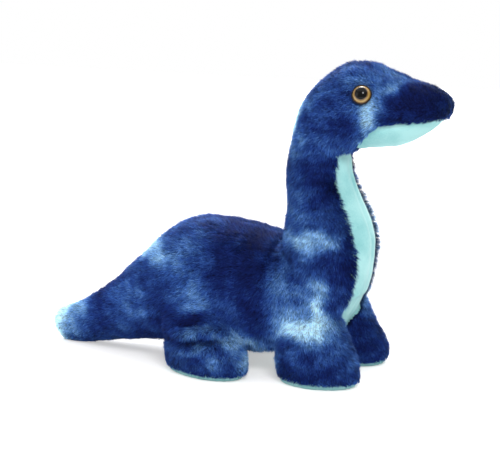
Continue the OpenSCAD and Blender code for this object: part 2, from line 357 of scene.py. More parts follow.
@dataclass(frozen=True)
class ShortNap:
    """Smooth aqua cloth with a very short nap, mottled a little."""

    name: str = "short_nap"
    deep: Tone = (0.185, 0.520, 0.540)
    pale: Tone = (0.400, 0.740, 0.740)
    cloud_scale: float = 45.0
    nap_scale: float = 1500.0
    nap_share: float = 0.45
    bump: float = 0.5
    bump_depth: float = 0.6 * MM
    roughness: float = 0.85
    gloss: float = 0.2
    sheen: float = 0.3

    def make(self) -> bpy.types.Material:
        """Builds the material, patterned on Object coordinates.

        Returns:
            The material.
        """
        material, tree, shader = start_material(self.name)
        nap = object_noise(tree, self.nap_scale)
        blend = tree.nodes.new("ShaderNodeMath")
        blend.operation = "MULTIPLY_ADD"
        set_inputs(blend, {1: self.nap_share})
        bump = tree.nodes.new("ShaderNodeBump")
        set_inputs(bump, {"Strength": self.bump, "Distance": self.bump_depth})
        tree.links.new(nap, blend.inputs[0])
        tree.links.new(object_noise(tree, self.cloud_scale, 3.0), blend.inputs[2])
        tones = colour_ramp(tree, blend.outputs["Value"], ((0.45, self.deep), (0.85, self.pale)))
        tree.links.new(tones, shader.inputs["Base Color"])
        tree.links.new(nap, bump.inputs["Height"])
        tree.links.new(bump.outputs["Normal"], shader.inputs["Normal"])
        set_inputs(shader, {
            "Roughness": self.roughness,
            "Specular IOR Level": self.gloss,
            "Sheen Weight": self.sheen,
            "Sheen Roughness": 0.5,
        })
        return material


@dataclass(frozen=True)
class AmberIris:
    """Amber resin, paler in a ring and dark at its rims, under a gloss."""

    name: str = "amber_iris"
    rim: Tone = (0.045, 0.016, 0.004)
    body: Tone = (0.150, 0.075, 0.012)
    glow: Tone = (0.480, 0.290, 0.055)

    def make(self) -> bpy.types.Material:
        """Builds the material, which reads the "ring" attribute: 0 at the pupil, 1 at the rim.

        Returns:
            The material.
        """
        material, tree, shader = start_material(self.name)
        stops = ((0.0, self.rim), (0.18, self.body), (0.6, self.glow), (0.88, self.body), (1.0, self.rim))
        tree.links.new(colour_ramp(tree, read_attribute(tree, "ring"), stops), shader.inputs["Base Color"])
        set_inputs(shader, {"Roughness": 0.12, "Coat Weight": 1.0, "Coat Roughness": 0.03})
        return material


@dataclass(frozen=True)
class Plain:
    """A moulded or loose stuff of one tone, with a faint mottle."""

    name: str
    tone: Tone
    roughness: float
    coat: float = 0.0
    mottle: float = 0.06
    gloss: float = 0.5

    def make(self) -> bpy.types.Material:
        """Builds the material, patterned on Object coordinates.

        Returns:
            The material.
        """
        material, tree, shader = start_material(self.name)
        darker = tuple(c * (1 - self.mottle) for c in self.tone)
        tones = colour_ramp(tree, object_noise(tree, 300.0), ((0.35, darker), (0.65, self.tone)))
        tree.links.new(tones, shader.inputs["Base Color"])
        set_inputs(shader, {
            "Roughness": self.roughness,
            "Specular IOR Level": self.gloss,
            "Coat Weight": self.coat,
            "Coat Roughness": 0.02,
        })
        return material


# ---------------------------------------------------------------- the body's form


@dataclass(frozen=True)
class Joint:
    """Where the toy bends: the two bodies, and the line along which cloth passes from one to the other."""

    fixed: str
    moving: str
    start: tuple[float, float, float]
    end: tuple[float, float, float]


@dataclass(frozen=True)
class Leg:
    """Where a pair of legs stands, and how its feet are turned and stretched."""

    word: str
    hip_x: float
    spread: float
    toe_out: float = 0.0
    stretch: float = 1.0
    straight_above: float = 45 * MM
    turned_below: float = 15 * MM

    def turn(self, places: np.ndarray, angle: float) -> np.ndarray:
        """Turns places about the hip's upright line, alike on both sides, most at the floor.

        Args:
            places: points, one row each.
            angle: the turn at the floor; a negative one moves the toes away from the middle.

        Returns:
            The turned points.
        """
        side = np.sign(places[:, 1])
        turn = side * -angle * (1 - ramp(places[:, 2], self.turned_below, self.straight_above))
        along, across = places[:, 0] - self.hip_x, places[:, 1] - side * self.spread
        out = places.copy()
        out[:, 0] = self.hip_x + along * np.cos(turn) - across * np.sin(turn)
        out[:, 1] = side * self.spread + along * np.sin(turn) + across * np.cos(turn)
        return out


LEGS = (
    Leg("front", hip_x=21.5 * LX, spread=32 * MM),
    Leg("rear", hip_x=-5.5 * LX, spread=39 * MM, toe_out=math.radians(17), stretch=1.14),
)


@dataclass
class BodyForm:
    """The stuffed body as one smooth form, before it is cut into its panels."""

    # A rib is back x, back z, belly x, belly z and half width, in hundredths of the length, height and width.
    trunk_ribs: tuple[tuple[float, ...], ...] = (
        (-50, 9, -50, 2.5, 5), (-48.5, 10.4, -48.5, 0.6, 8), (-44.5, 12.6, -44.5, 0.2, 10),
        (-37.5, 18.4, -37.5, 1.6, 15), (-31, 25.4, -31, 3.4, 21), (-24.5, 34, -24, 5.5, 27.5),
        (-18.5, 41.5, -17.5, 6, 34), (-12.5, 45.5, -12, 6.2, 37.5), (-4, 46, -4, 5.4, 39),
        (3, 44.8, 3, 5, 38),
        (10.5, 42.4, 10.5, 5.2, 36.5), (19, 41.5, 17.5, 7.4, 34), (25.5, 40, 23, 13, 30),
        (28.5, 37.5, 26.5, 19, 23), (30, 33.5, 29, 25, 13),
    )
    neck_ribs: tuple[tuple[float, ...], ...] = (
        (13, 30, 30, 26, 30), (12, 40, 31.5, 36.5, 31.5), (12, 48, 31.5, 46, 28.5),
        (12.5, 56.5, 28.5, 56.5, 23.5), (12, 64.5, 26.5, 64.5, 20), (12.5, 71, 26, 70.5, 19.5),
        (13.5, 78.5, 26, 72.5, 20), (15, 85.5, 27.5, 73, 21.5), (19, 93.5, 29.5, 73, 23.5),
        (24.5, 99, 32, 73.5, 24), (30, 100, 35, 74, 24), (35.5, 97.4, 38, 74.5, 21.5),
        (41, 94.8, 41.5, 76.5, 19),
        (45, 93.4, 45, 79, 15.5), (48, 91.5, 48, 81.5, 11), (49.3, 89.5, 49.3, 84, 5.5),
    )
    # A leg ring is height, shift forward, shift outward, half length and half width, in millimetres.
    leg_rings: tuple[tuple[float, ...], ...] = (
        (0, 2, 0, 27.5, 17), (3, 3, 0, 30.5, 19.5), (10, 3, 0, 31, 20.5), (22, 1, -1, 28, 20),
        (37, -3, -2, 24, 18.5), (48, -4, -4, 21, 15), (59, -4, -5, 12.5, 8),
    )
    rows_a_gap: int = 3
    voxel: float = 1.8 * MM
    smoothings: int = 7
    unevenness: float = 0.8 * MM
    lump_size: float = 55 * MM
    pile_room: float = 0.5 * MM
    ring_steps: int = 40
    # What lies below the first height is pressed to the floor, from the second height down.
    pressed_below: float = 2.2 * MM
    floor_above: float = 0.9 * MM
    pressing: float = 1.6

    def build(self) -> bpy.types.Object:
        """Lofts the trunk, the neck and the legs, melts them into one skin and smooths it.

        Returns:
            The form, one closed mesh.
        """
        lofts = [self.rib_loft("trunk_loft", self.trunk_ribs), self.rib_loft("neck_loft", self.neck_ribs)]
        for side in Side:
            lofts += [self.leg_loft(leg, side) for leg in LEGS]
        deselect_all()
        for loft in lofts:
            loft.select_set(True)
        bpy.context.view_layer.objects.active = lofts[0]
        bpy.ops.object.join()
        form = bpy.context.object
        form.name = "body_form"
        apply_modifier(form, "REMESH", mode="VOXEL", voxel_size=self.voxel)
        apply_modifier(form, "SMOOTH", factor=0.5, iterations=self.smoothings)
        self.lump(form)
        self.make_room(form)
        self.settle_soles(form)
        return form

    def make_room(self, form: bpy.types.Object) -> None:
        """Draws the skin in by the height of the pile, except at the soles."""
        places = vertex_places(form.data)
        room = self.pile_room * ramp(places[:, 2], 1 * MM, 8 * MM)
        set_places(form.data, places - vertex_normals(form.data) * room[:, None])

    def lump(self, form: bpy.types.Object) -> None:
        """Makes the stuffing a little uneven, least near the floor."""
        places = vertex_places(form.data)
        swell = self.unevenness * wander(places, self.lump_size, SEED + 9)
        swell *= ramp(places[:, 2], 2 * MM, 12 * MM)
        set_places(form.data, places + vertex_normals(form.data) * swell[:, None])

    def rib_loft(self, name: str, ribs: tuple[tuple[float, ...], ...]) -> bpy.types.Object:
        """Rings on the ribs, bridged and capped.

        Args:
            name: the new object's name.
            ribs: the ribs, in order along the loft.

        Returns:
            The lofted object.
        """
        rows = smooth_rows(np.array(ribs, float), self.rows_a_gap)
        rings = []
        for back_x, back_z, belly_x, belly_z, half_width in rows:
            back = Vector((back_x * LX, 0, back_z * HZ))
            belly = Vector((belly_x * LX, 0, belly_z * HZ))
            spine = back - belly
            turn = math.atan2(spine.x, spine.z)
            rings.append(((back + belly) / 2, spine.length / 2, half_width * WY, turn))
        return self.bridge(name, rings)

    def leg_loft(self, leg: Leg, side: Side) -> bpy.types.Object:
        """One leg, from its sole to the top that lies inside the trunk.

        Args:
            leg: which pair of legs.
            side: which side of the toy.

        Returns:
            The lofted object.
        """
        rings = []
        rows = smooth_rows(np.array(self.leg_rings, float), self.rows_a_gap)
        for height, forward, outward, half_length, half_width in rows:
            across = side.value * (leg.spread + outward * MM)
            centre = Vector((leg.hip_x + forward * MM, across, height * MM))
            rings.append((centre, leg.stretch * half_length * MM, half_width * MM, math.pi / 2))
        skin = self.bridge("leg_loft", rings)
        if leg.toe_out:
            set_places(skin.data, leg.turn(vertex_places(skin.data), -leg.toe_out))
        return skin

    def bridge(self, name: str, rings: list[tuple[Vector, float, float, float]]) -> bpy.types.Object:
        """Adds a circle for each ring and bridges them into a closed skin.

        Args:
            name: the new object's name.
            rings: each ring's centre, half height, half width and turn about Y.

        Returns:
            The closed object.
        """
        deselect_all()
        bpy.ops.mesh.primitive_circle_add(vertices=self.ring_steps, radius=1.0)
        skin = bpy.context.object
        skin.name = name
        mesh = bmesh.new()
        loops = []
        for centre, half_height, half_width, turn in rings:
            loop = []
            for angle in ring_angles(self.ring_steps):
                up = math.cos(angle) * half_height
                across = math.sin(angle) * half_width
                place = centre + Vector((up * math.sin(turn), across, up * math.cos(turn)))
                loop.append(mesh.verts.new(place))
            loops.append(loop)
        join_rows(mesh, loops)
        mesh.faces.new(loops[0])
        mesh.faces.new(loops[-1])
        write_mesh(mesh, skin)
        return skin

    def settle_soles(self, form: bpy.types.Object) -> None:
        """Presses the feet flat on the floor again after the smoothing."""
        places = vertex_places(form.data)
        low = places[:, 2] < self.pressed_below
        places[low, 2] = np.maximum(0.0, (places[low, 2] - self.floor_above) * self.pressing)
        set_places(form.data, places)


def smooth_rows(rows: np.ndarray, steps: int) -> np.ndarray:
    """Adds rows between the given ones on a smooth curve through them.

    Args:
        rows: the given rows.
        steps: how many stretches each gap becomes.

    Returns:
        All rows, the given ones among them.
    """
    padded = np.vstack([2 * rows[0] - rows[1], rows, 2 * rows[-1] - rows[-2]])
    out = []
    for i in range(1, len(padded) - 2):
        a, b, c, d = padded[i - 1 : i + 3]
        for step in range(steps):
            t = step / steps
            bend, twist = 2 * a - 5 * b + 4 * c - d, 3 * b - a - 3 * c + d
            out.append(0.5 * (2 * b + (c - a) * t + bend * t**2 + twist * t**3))
    out.append(rows[-1])
    return np.array(out)


# ---------------------------------------------------------------- seams and panels


@dataclass(frozen=True)
class Seam:
    """A cut of the pattern: a plane that cuts the form, where the test of place allows it."""

    point: tuple[float, float, float]
    normal: tuple[float, float, float]
    low: tuple[float, float, float] = (-1.0, -1.0, -1.0)
    high: tuple[float, float, float] = (1.0, 1.0, 1.0)
    depth: float = 0.0
    parts_bodies: bool = False

    @classmethod
    def square(cls, axis: int, place: float, **limits: object) -> "Seam":
        """A cut square to one axis: 0 runs along the toy, 1 across it and 2 upward."""
        way = tuple(float(i == axis) for i in range(3))
        return cls(tuple(place * share for share in way), way, **limits)

    @classmethod
    def sloped(cls, start: tuple[float, float], end: tuple[float, float], **limits: object) -> "Seam":
        """A cut through the toy's whole width, along a line between two places given by x and z."""
        return cls((start[0], 0, start[1]), (start[1] - end[1], 0, end[0] - start[0]), **limits)


@dataclass
class Pattern:
    """The paper pattern: every seam, and which panel each bit of the form belongs to."""

    belly_half: float = 23 * MM
    throat_half: float = 15 * MM
    belly_top: float = 40 * HZ
    throat_top: float = 74 * HZ
    crown_half: float = 9 * MM
    flank_x: float = 10.5 * LX
    strip_start_x: float = -14 * LX
    neck_back_x: float = 34 * MM
    neck_cuts: tuple[float, float, float] = (100 * MM, 126 * MM, 156 * MM)
    tail_cuts: tuple[float, float] = (-60 * MM, -98 * MM)
    mouth_corner: tuple[float, float] = (35 * LX, 82.5 * HZ)
    mouth_front: tuple[float, float] = (50 * LX, 85 * HZ)
    jaw_foot: tuple[float, float] = (27 * LX, 73 * HZ)
    sole_edge: float = 4.6 * MM
    leg_top: float = 48 * MM
    chest_x: float = 62 * MM
    belly_below: float = 45 * MM
    crown_above: float = 190 * MM
    # How far past a seam's limits faces are cut, and how the sunk cloth fades beside and along a seam.
    cut_margin: float = 3 * MM
    seam_reach: float = 2.6 * MM
    seam_fade: float = 6 * MM
    # A leg's outline is height, half length, half width and shift forward, in millimetres.
    leg_outline: tuple[tuple[float, ...], ...] = (
        (0, 34, 24, 3), (10, 34, 24, 3), (22, 31, 22.5, 1), (37, 26, 20, -3), (48, 22, 16, -4),
    )

    def seams(self) -> list[Seam]:
        """All cuts, in the order that they are made.

        Returns:
            The seams, each with how deep its thread pulls the cloth in.
        """
        neck, tail, corner_x = self.neck_cuts, self.tail_cuts, self.mouth_corner[0]
        out = [
            Seam.square(1, 0, low=(-1, -1, 0.03), depth=0.9 * MM),
            Seam.square(0, self.flank_x, high=(1, 1, 0.12), depth=1.9 * MM),
            Seam.square(0, self.strip_start_x, high=(1, 1, 0.05)),
            Seam.square(2, neck[0], low=(self.neck_back_x, -1, -1), parts_bodies=True),
            Seam.square(0, self.neck_back_x, low=(-1, -1, 0.09), high=(1, 1, 0.13), parts_bodies=True),
            Seam.square(2, neck[1], parts_bodies=True),
            Seam.square(2, neck[2], parts_bodies=True),
            Seam.square(0, tail[0], parts_bodies=True),
            Seam.square(0, tail[1], parts_bodies=True),
            Seam.square(2, self.leg_top, parts_bodies=True),
            Seam.square(2, self.sole_edge, high=(1, 1, 0.02), depth=0.5 * MM),
            Seam.sloped(self.mouth_corner, self.mouth_front, low=(corner_x - 3 * MM, -1, 0.15), depth=1.6 * MM),
            Seam.sloped(self.jaw_foot, self.mouth_corner, low=(0.07, -1, 0.15),
                        high=(corner_x + 3 * MM, 1, 0.2), depth=0.8 * MM),
        ]
        drop = self.throat_top - self.belly_top
        for side in (-1, 1):
            edge = side * self.belly_half
            out += [
                Seam.square(1, edge, low=(-0.05, -1, -1), high=(1, 1, self.belly_top), depth=0.4 * MM),
                Seam((0, edge, self.belly_top), (0, drop, side * (self.belly_half - self.throat_half)),
                     low=(self.chest_x, -1, self.belly_top), high=(1, 1, self.throat_top), depth=0.4 * MM),
                Seam.square(1, side * self.crown_half, low=(0.05, -1, self.crown_above), depth=0.7 * MM),
            ]
            out += [
                Seam.square(1, side * leg.spread, low=(leg.hip_x - 0.04, -1, -1),
                            high=(leg.hip_x + 0.045, 1, self.leg_top), depth=0.6 * MM)
                for leg in LEGS
            ]
        return out

    def body_cuts(self) -> list[Seam]:
        """The cuts between the moving bodies alone."""
        return [seam for seam in self.seams() if seam.parts_bodies]

    def panel_of(self, places: np.ndarray) -> np.ndarray:
        """Names the panel that holds each place.

        Args:
            places: points on the form, one row each.

        Returns:
            The panels' names.
        """
        x, y, z = places.T
        side = np.where(y < 0, "right", "left")
        names = np.where(x < self.flank_x, "rear_side_", "shoulder_").astype(object) + side
        strip = np.abs(y) < self.strip_half(z)
        front = strip & (x > self.chest_x)
        under = strip & (z < self.belly_below) & (x > self.strip_start_x)
        names[under | (front & (z < self.throat_top))] = "belly_panel"
        neck = (x > self.neck_back_x) & (z > self.neck_cuts[0])
        for stretch, low in (("lower", self.neck_cuts[0]), ("upper", self.neck_cuts[1])):
            here = neck & (z > low)
            names[here] = (f"neck_{stretch}_" + side.astype(object))[here]
            names[here & front] = f"throat_{stretch}"
        head = neck & (z > self.neck_cuts[2])
        names[head] = ("head_side_" + side.astype(object))[head]
        crown = head & (np.abs(y) < self.crown_half) & (z > self.crown_above)
        names[crown & self.above_mouth(x, z)] = "crown_gusset"
        names[head & ~self.above_mouth(x, z) & (x > self.jaw_foot[0] - 1.5 * MM)] = "chin_panel"
        names[head & front & (z < self.throat_top - 1 * MM)] = "chin_panel"
        for name, cut in (("tail_root_", self.tail_cuts[0]), ("tail_tip_", self.tail_cuts[1])):
            here = x < cut
            names[here] = (name + side.astype(object))[here]
        self.name_legs(names, places, side)
        return names

    def strip_half(self, z: np.ndarray) -> np.ndarray:
        """Half the aqua strip's width at each height: the belly's, narrowing to the throat's."""
        return np.interp(z, [self.belly_top, self.throat_top], [self.belly_half, self.throat_half])

    def above_mouth(self, x: np.ndarray, z: np.ndarray) -> np.ndarray:
        """Whether each place is above the line that runs from the jaw's foot along the mouth."""
        return z > np.interp(x, *zip(self.jaw_foot, self.mouth_corner, self.mouth_front))

    def name_legs(self, names: np.ndarray, places: np.ndarray, side: np.ndarray) -> None:
        """Gives the places on the legs their panels' names.

        Args:
            names: the names so far, changed in place.
            places: points on the form, one row each.
            side: the side's word for each place.
        """
        rows = np.array(self.leg_outline) * MM
        for leg in LEGS:
            x, y, z = leg.turn(places, leg.toe_out).T
            reach, wide, shift = (np.interp(z, rows[:, 0], rows[:, i]) for i in (1, 2, 3))
            along = (x - leg.hip_x - shift) / (leg.stretch * reach)
            across = (np.abs(y) - leg.spread) / wide
            here = (along**2 + across**2 < 1.0) & (z < self.leg_top)
            face = np.where(np.abs(y) > leg.spread, "outer", "inner").astype(object)
            names[here] = (f"{leg.word}_leg_" + side.astype(object) + "_" + face)[here]
            sole = here & (z < self.sole_edge)
            names[sole] = (f"{leg.word}_sole_" + side.astype(object))[sole]

    def cut(self, form: bpy.types.Object) -> None:
        """Cuts every seam into the form, then pulls the cloth in along the seams.

        Args:
            form: the body's form.
        """
        for seam in self.seams():
            self.cut_one(form, seam)
        self.pull_in(form)

    def cut_one(self, form: bpy.types.Object, seam: Seam) -> None:
        """Bisects the faces that the seam reaches.

        Args:
            form: the body's form.
            seam: the seam.
        """
        make_active(form)
        centres = face_centres(form.data)
        above = centres > np.array(seam.low) - self.cut_margin
        below = centres < np.array(seam.high) + self.cut_margin
        select_faces(form, np.all(above & below, axis=1))
        bpy.ops.object.mode_set(mode="EDIT")
        bpy.ops.mesh.select_mode(type="FACE")
        bpy.ops.mesh.bisect(plane_co=seam.point, plane_no=seam.normal, threshold=0.0002)
        bpy.ops.object.mode_set(mode="OBJECT")

    def pull_in(self, form: bpy.types.Object) -> None:
        """Sinks the form along each seam, deepest on the seam itself.

        Args:
            form: the body's form.
        """
        places = vertex_places(form.data)
        normals = vertex_normals(form.data)
        sink = np.zeros(len(places))
        for seam in self.seams():
            if not seam.depth:
                continue
            gap = np.abs((places - np.array(seam.point)) @ unit(np.array(seam.normal, float)))
            near = np.ones(len(places))
            for axis in range(3):
                near *= ramp(places[:, axis], seam.low[axis] - 1e-4, seam.low[axis] + self.seam_fade)
                near *= 1 - ramp(places[:, axis], seam.high[axis] - self.seam_fade, seam.high[axis] + 1e-4)
            sink = np.maximum(sink, near * seam.depth * np.exp(-((gap / self.seam_reach) ** 2)))
        sink[places[:, 2] < 1.5 * MM] = 0.0
        set_places(form.data, places - normals * sink[:, None])


def select_faces(obj: bpy.types.Object, chosen: np.ndarray) -> None:
    """Selects an object's faces by a mask, with their corners and edges.

    Args:
        obj: the object, in object mode.
        chosen: one truth value a face.
    """
    mesh = obj.data
    corners = np.zeros(len(mesh.vertices), bool)
    edges = np.zeros(len(mesh.edges), bool)
    loops = np.empty(len(mesh.loops), np.int32)
    loop_edges = np.empty(len(mesh.loops), np.int32)
    mesh.loops.foreach_get("vertex_index", loops)
    mesh.loops.foreach_get("edge_index", loop_edges)
    totals = np.empty(len(mesh.polygons), np.int32)
    mesh.polygons.foreach_get("loop_total", totals)
    of_chosen = np.repeat(chosen, totals)
    corners[loops[of_chosen]] = True
    edges[loop_edges[of_chosen]] = True
    mesh.vertices.foreach_set("select", corners)
    mesh.edges.foreach_set("select", edges)
    mesh.polygons.foreach_set("select", chosen)
    mesh.update()


# ---------------------------------------------------------------- dye and pile


@dataclass(frozen=True)
class Patch:
    """A soft patch of lighter or darker colour, on both flanks or on the far one alone, in millimetres: most
    are dye, while the far-side ones and a few others are painted light and shade.
    """

    x: float
    z: float
    long: float
    tall: float
    change: float
    # A far-side patch is painted light: it paints the far flank's pile paler at the chest and front leg,
    # standing in for the light that falls on that side.
    far_only: bool = False


@dataclass
class Dye:
    """How light the cloth is dyed at each place, with some painted light and shade: a mottle with listed
    patches, in millimetres.
    """

    base: float = 0.30
    patches: tuple[Patch, ...] = (
        Patch(-157, 16, 16, 20, 0.85), Patch(-134, 30, 12, 8, 0.14), Patch(-110, 38, 14, 22, -0.16),
        # The first two patches of the next line are painted backlight: they pale the top edge of the back along
        # its outline.
        Patch(-70, 86, 30, 8, 0.46), Patch(-44, 104, 18, 6, 0.22), Patch(-2, 86, 26, 20, -0.14),
        # In the next two lines the thin patches 35 and 24 mm high are painted highlights on the ridges of the
        # folds above the rear feet, and those 41 and 29 mm high are painted shade in the folds.
        Patch(-20, 62, 8, 12, 0.22), Patch(-11, 50, 6, 8, 0.28), Patch(-17, 35, 9, 3, 0.32),
        Patch(-16, 24, 9, 3, 0.26), Patch(-16, 41, 12, 3, -0.20), Patch(-15, 29, 12, 3, -0.20),
        Patch(-74, 42, 18, 16, 0.14), Patch(22, 84, 9, 24, -0.22),
        Patch(11, 32, 16, 7, 0.40), Patch(61, 106, 15, 7, 0.54), Patch(80, 104, 12, 5, 0.18),
        Patch(74, 66, 9, 16, 0.42), Patch(64, 46, 22, 10, 0.42), Patch(39, 16, 6, 15, 0.38),
        Patch(90, 88, 10, 22, -0.24), Patch(48, 70, 12, 20, 0.12), Patch(92, 50, 10, 8, -0.10),
        Patch(80, 18, 18, 13, -0.08), Patch(62, 20, 8, 6, 0.12), Patch(-18, 38, 16, 12, -0.16),
        Patch(-4, 22, 20, 9, -0.08), Patch(2, 13, 7, 5, 0.22),
        Patch(25, 14, 6, 14, 0.46), Patch(17, 18, 5, 14, 0.38),
        Patch(46, 186, 8, 14, 0.36), Patch(124, 217, 14, 4, 0.24),
        # The two far-side patches on the next line are painted light on the far flank's pile, seen past the
        # chest.
        Patch(93, 112, 16, 50, 0.56, far_only=True), Patch(112, 40, 12, 30, 0.20, far_only=True),
        Patch(46, 194, 8, 22, 0.48), Patch(62, 214, 14, 10, 0.14), Patch(107, 201, 10, 11, 0.46),
        Patch(102, 184, 6, 8, 0.26), Patch(134, 206, 22, 13, -0.34), Patch(132, 228, 18, 5, 0.34),
        Patch(92, 226, 22, 8, 0.10), Patch(70, 178, 12, 12, 0.10), Patch(84, 190, 12, 8, -0.16),
        Patch(70, 150, 12, 22, -0.14), Patch(46, 140, 8, 22, 0.10), Patch(150, 206, 6, 6, 0.06),
        Patch(-10, 100, 26, 8, 0.06), Patch(60, 128, 14, 8, 0.10),
        Patch(43, 70, 9, 26, 0.14), Patch(150, 207, 3, 3, -0.30), Patch(-96, 50, 16, 10, 0.10),
    )
    mottle: float = 0.14
    speckle: float = 0.09
    stray: float = 5 * MM

    def at(self, places: np.ndarray) -> np.ndarray:
        """The lightness of the dye at each place, with the painted light and shade of some patches, from 0 to
        1.
        """
        value = np.full(len(places), self.base)
        x = (places[:, 0] + self.stray * wander(places, 34 * MM, SEED + 11)) / MM
        z = (places[:, 2] + self.stray * wander(places, 34 * MM, SEED + 12)) / MM
        for patch in self.patches:
            spread = ((x - patch.x) / patch.long) ** 2 + ((z - patch.z) / patch.tall) ** 2
            # A far-side patch of painted light fades in across the middle plane.
            side = ramp(places[:, 1], 0.0, 8 * MM) if patch.far_only else 1.0
            value += patch.change * np.exp(-spread) * side
        value += (
            self.mottle * wander(places, 60 * MM, SEED) + self.speckle * wander(places, 14 * MM, SEED + 1)
        )
        return np.clip(value, 0.02, 0.98)


@dataclass
class Pile:
    """The fur of a plush panel: bent, tapering tufts, combed along the toy."""

    density: float = 6.6e6
    length: float = 5.8 * MM
    width: float = 0.38 * MM
    root_lean: float = math.radians(30)
    tip_lean: float = math.radians(62)
    clump: float = 2.4 * MM
    unruly: float = 0.44
    frosted: float = 0.20
    floor: float = 0.4 * MM
    eye_centres: tuple[tuple[float, float, float], ...] = ()
    eye_clear: float = 7.4 * MM
    pattern: Pattern = field(default_factory=Pattern)
    # Where a blade bends, how deep it is rooted, and the shades at its root, its two bends and its tip; the
    # dark root is painted shade deep in the pile.
    knee: float = 0.48
    rooting: float = 0.4 * MM
    shades: tuple[float, ...] = (0.0, 0.30, 0.30, 0.72)
    frost: tuple[float, ...] = (0.0, 0.12, 0.12, 0.40)
    # A blade's two triangles, by its corners in that order, wound to face outward.
    blade_faces: tuple[int, ...] = (0, 2, 1, 1, 2, 3)

    def comb(self, places: np.ndarray, normals: np.ndarray) -> np.ndarray:
        """The way that the pile is combed at each place, along the cloth.

        Args:
            places: the roots.
            normals: the cloth's normals there.

        Returns:
            Unit directions, one row each.
        """
        x, _, z = places.T
        flow = np.tile(np.array([-0.80, 0.0, -0.60]), (len(places), 1))
        tail = 1 - ramp(x, -0.09, -0.05)
        flow += tail[:, None] * (np.array([-1.0, 0.0, -0.25]) - flow)
        fore = ramp(x, 0.025, 0.045)
        flow += fore[:, None] * (np.array([-0.10, 0.0, -1.0]) - flow)
        head = ramp(z, 0.165, 0.190)
        flow += head[:, None] * (np.array([-0.75, 0.0, -0.62]) - flow)
        snout = ramp(x, 0.085, 0.115) * ramp(z, 0.165, 0.175)
        flow += snout[:, None] * (np.array([-1.0, 0.0, 0.05]) - flow)
        legs = 1 - ramp(z, 0.025, 0.045)
        flow += (legs * ramp(x, -0.06, -0.05))[:, None] * (np.array([0.15, 0.0, -1.0]) - flow)
        flow = unit(flow - (flow * normals).sum(1, keepdims=True) * normals)
        across = np.cross(normals, flow)
        swirl = 0.45 * wander(places, 30 * MM, SEED + 2)
        return unit(flow + swirl[:, None] * across)

    def stand_at(self, places: np.ndarray) -> np.ndarray:
        """How far the pile stands up, from 0 to 1: it does along the edges of the chest's aqua panel."""
        x, y, z = places.T
        near_edge = 1 - ramp(np.abs(y) - self.pattern.strip_half(z), 1.5 * MM, 8 * MM)
        low = ramp(z, 0.055, 0.075)
        return 0.75 * near_edge * ramp(x, 0.055, 0.070) * low * (1 - ramp(z, 0.150, 0.165))

    def length_at(self, places: np.ndarray) -> np.ndarray:
        """How long the pile is at each place, as a share of the full length."""
        x, _, z = places.T
        share = np.ones(len(places))
        share *= 1 - 0.30 * ramp(z, 0.170, 0.200)
        share *= 1 - 0.35 * ramp(x, 0.115, 0.155) * ramp(z, 0.16, 0.17)
        share *= 1 - 0.50 * (1 - ramp(z, 0.006, 0.022))
        share *= 1 + 0.14 * wander(places, 20 * MM, SEED + 3)
        share *= 1 + 0.40 * self.stand_at(places)
        for centre in self.eye_centres:
            gap = np.linalg.norm(places - np.array(centre), axis=1)
            share *= 0.35 + 0.65 * ramp(gap, self.eye_clear, self.eye_clear + 5 * MM)
        return share

    def grow(self, skin: bpy.types.Object, name: str, dye: Dye, seed: int) -> bpy.types.Object:
        """Grows the pile of one panel.

        Args:
            skin: the panel's outer face, before it has its thickness.
            name: the new object's name.
            dye: the cloth's dye, with its painted light and shade.
            seed: the panel's own seed.

        Returns:
            The pile, one mesh.
        """
        rng = np.random.default_rng(seed)
        roots, normals = self.scatter(skin, rng)
        comb = self.comb(roots, normals)
        across = np.cross(normals, comb)
        count = len(roots)
        clump_side = wander(roots, self.clump * 2, SEED + 4) + 0.6 * wander(roots, self.clump, SEED + 5)
        clump_lift = wander(roots, self.clump * 2.2, SEED + 6)
        sway = self.unruly * (clump_side + rng.normal(0, 0.75, count))
        lift = 0.20 * clump_lift + rng.normal(0, 0.16, count)
        length = self.length * self.length_at(roots) * rng.uniform(0.72, 1.18, count)
        way = unit(comb + sway[:, None] * across)
        stand = self.stand_at(roots)
        first = self.lean(normals, way, (self.root_lean - lift) * (1 - 0.8 * stand))
        second = self.lean(normals, way, (self.tip_lean - lift) * (1 - 0.75 * stand))
        middle = roots + first * (self.knee * length)[:, None]
        tip = middle + second * ((1 - self.knee) * length)[:, None]
        base = roots - normals * self.rooting
        broad = unit(np.cross(way, normals)) * (self.width * rng.uniform(0.7, 1.25, count))[:, None] / 2
        tilt = normals * (rng.normal(0, 0.35, count) * self.width / 2)[:, None]
        corners = np.stack([base, middle - broad - tilt, middle + broad + tilt, tip], axis=1).reshape(-1, 3)
        corners[:, 2] = np.maximum(corners[:, 2], self.floor)
        pile = self.blades(name, corners, count)
        # Each blade runs from a dark root, painted shade deep in the pile, to a paler tip; frosted blades have
        # paler tips still.
        strand = np.tile(np.array(self.shades), (count, 1))
        strand += (0.16 * clump_lift + rng.normal(0, 0.20, count))[:, None]
        strand += np.array(self.frost) * (rng.random(count) < self.frosted)[:, None]
        lightness = dye.at(roots) + rng.normal(0, 0.06, count)
        add_float(pile, "strand", np.clip(strand, 0, 1).ravel())
        add_float(pile, "dye", np.clip(np.repeat(lightness, 4), 0.01, 0.99))
        flat = np.cross(broad, tip - base)
        facing = unit(flat * np.sign((flat * normals).sum(1))[:, None])
        soft = unit(normals + 0.55 * facing + rng.normal(0, 0.16, (count, 3)))
        pile.data.normals_split_custom_set_from_vertices(np.repeat(soft, 4, axis=0).tolist())
        return pile

    def lean(self, normals: np.ndarray, way: np.ndarray, angle: np.ndarray) -> np.ndarray:
        """Directions that lean from the normal toward the comb by an angle each."""
        return unit(normals * np.cos(angle)[:, None] + way * np.sin(angle)[:, None])

